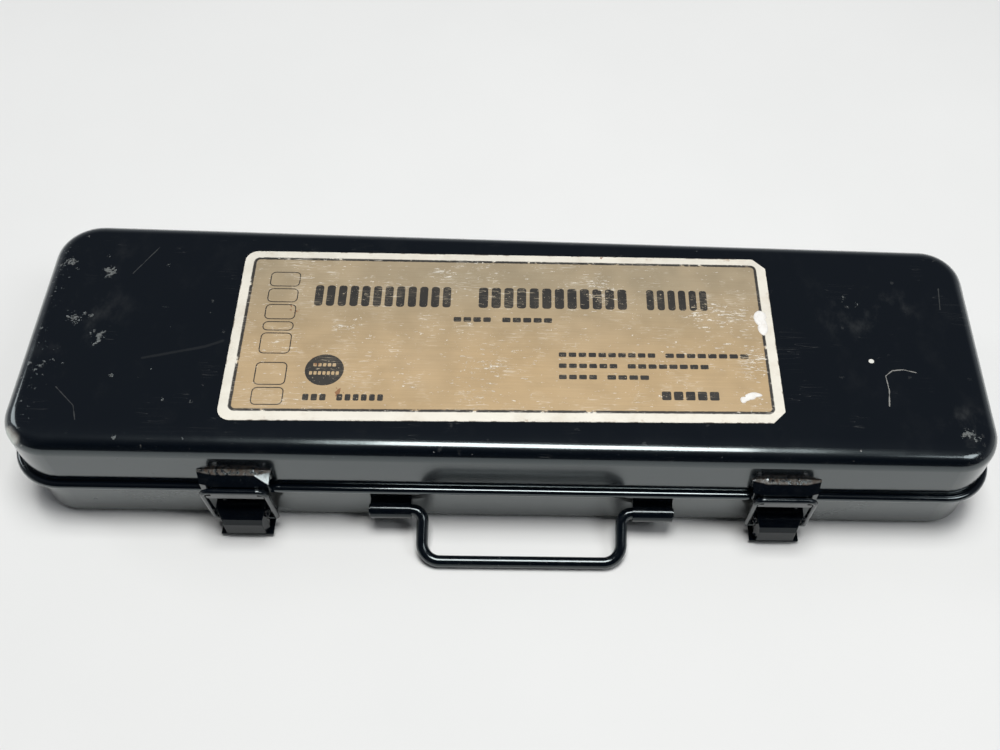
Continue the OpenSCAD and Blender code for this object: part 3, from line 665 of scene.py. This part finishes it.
def dome(middle, across, up, radii, height, wobble=(0, 0, 0), rings=7, steps=36):
    """A low dome: at share r of its radius it stands height * (1 - r^4), and its edge is a wavy oval.

    The edge is the oval's two radii times 1 + the sum of wobble[k] * sin((k + 2) * angle + k)."""
    share = np.linspace(0, 1, rings)[1:, None]
    angle = np.arange(steps)[None, :] * 2 * math.pi / steps
    edge = 1 + sum(w * np.sin((k + 2) * angle + k) for k, w in enumerate(wobble))
    across, up = np.asarray(across, float), np.asarray(up, float)
    out = np.cross(across, up)
    flat_a, flat_b = share * edge * radii[0] * np.cos(angle), share * edge * radii[1] * np.sin(angle)
    lift = height * (1 - share ** 4) + 0 * angle
    shell = np.asarray(middle) + flat_a[..., None] * across + flat_b[..., None] * up
    shell = shell + lift[..., None] * out
    sunk = shell[-1] - 0.05 * out
    points = np.vstack([np.asarray(middle) + height * out, shell.reshape(-1, 3), sunk])
    around = np.arange(steps)
    after = (around + 1) % steps
    faces = np.column_stack([np.zeros(steps, int), 1 + around, 1 + after]).tolist()
    for ring in range(rings - 1):
        a, b = 1 + ring * steps, 1 + (ring + 1) * steps
        faces += np.column_stack([a + around, b + around, b + after, a + after]).tolist()
    faces.append((1 + (rings - 1) * steps + around[::-1]).tolist())
    return points, faces


def join(parts):
    """Puts several (points, faces) together."""
    points, faces, count = [], [], 0
    for some_points, some_faces in parts:
        points.append(some_points)
        faces += [[index + count for index in face] for face in some_faces]
        count += len(some_points)
    return np.vstack(points), faces


def paint_splashes(material):
    """Two splashes of paint at the label's right edge."""
    flat = (1, 0, 0), (0, 1, 0)
    splashes = [
        dome((96, 13.2, LABEL_TOP), *flat, (2.5, 3.4), 0.35, (0.12, 0.1, 0.05)),
        dome((97, 8, LABEL_TOP), *flat, (2.0, 4.0), 0.4, (0.1, -0.08, 0.06)),
        dome((90, -25.3, LABEL_TOP), *flat, (3.1, 1.6), 0.35, (0.2, 0.1, 0.08)),
        dome((86.6, -27.2, LABEL_TOP), *flat, (1.8, 1.4), 0.3, (0.1, 0.15, 0.05)),
    ]
    add_piece("paint_splashes", *join(splashes), material, "lid", "label_foil")


# ---------- assembly ----------

def round_edges(prefixes, width, limit):
    """Rounds the sharp edges of folded-sheet nodes by width millimetres, so that they catch light."""
    for name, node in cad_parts.items():
        if name.startswith(prefixes):
            weld = node.modifiers.new("weld", "WELD")
            weld.merge_threshold = 0.02 * MM
            bevel = node.modifiers.new("bevel", "BEVEL")
            bevel.width = width * MM
            bevel.segments = 2
            bevel.limit_method = "ANGLE"
            bevel.angle_limit = math.radians(limit)
            bevel.use_clamp_overlap = True


def dress_nodes(finishes):
    """Gives each CAD node its finish; the first prefix that fits its name decides."""
    for name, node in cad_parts.items():
        material = next(m for prefix, m in finishes if name.startswith(prefix))
        node.data.materials.clear()
        node.data.materials.append(material)


add_camera()
add_room()
add_softbox("ceiling_lamp", (0.05, 0.0, 1.5), 0.62, 21, (1.0, 0.99, 0.97))
add_softbox("side_lamp", (1.1, -0.5, 1.5), 0.6, 6, (0.97, 0.985, 1.0))
add_softbox("left_lamp", (-1.3, 0.5, 0.85), 0.5, 2.5, (0.97, 0.985, 1.0))

add_floor(floor_sheet())

shell = case_enamel()
foil = label_foil()
ink = label_ink()
chrome = steel("chrome_plate", (0.74, 0.75, 0.77), 0.08, 6)
plain = steel("plain_steel", (0.42, 0.42, 0.43), 0.26, 4)
strike = fitting_enamel("strike_enamel", 0.8, 0.75, rub=(35.5, 36.2))
bent = fitting_enamel("fitting_enamel", 0.45, 0.55)
wire = fitting_enamel("wire_enamel", 0.3, 0.7, low=(3.2, 6))
lever = fitting_enamel("lever_enamel", 0.35, 0.3)
dress_nodes([
    ("pan", shell), ("lid", shell), ("label", foil), ("latch_strike", strike), ("latch_pin", plain),
    ("latch_loop", wire), ("latch", lever), ("carry_handle", wire), ("handle_clip", bent),
    ("hinge_pin", plain), ("hinge", bent), ("insert_rack", rack_enamel()),
    ("ratchet_body", knurled_chrome()), ("ratchet_cover", chrome), ("ratchet_selector", chrome),
    ("ratchet", plain), ("extension_bar", chrome), ("extension_ball", plain), ("socket", chrome),
])
round_edges(("latch_strike", "latch_lever", "latch_base"), 0.3, 35)
label_printing(ink, foil)
paint_splashes(dried_paint())
bpy.context.scene.view_settings.view_transform = "Standard"
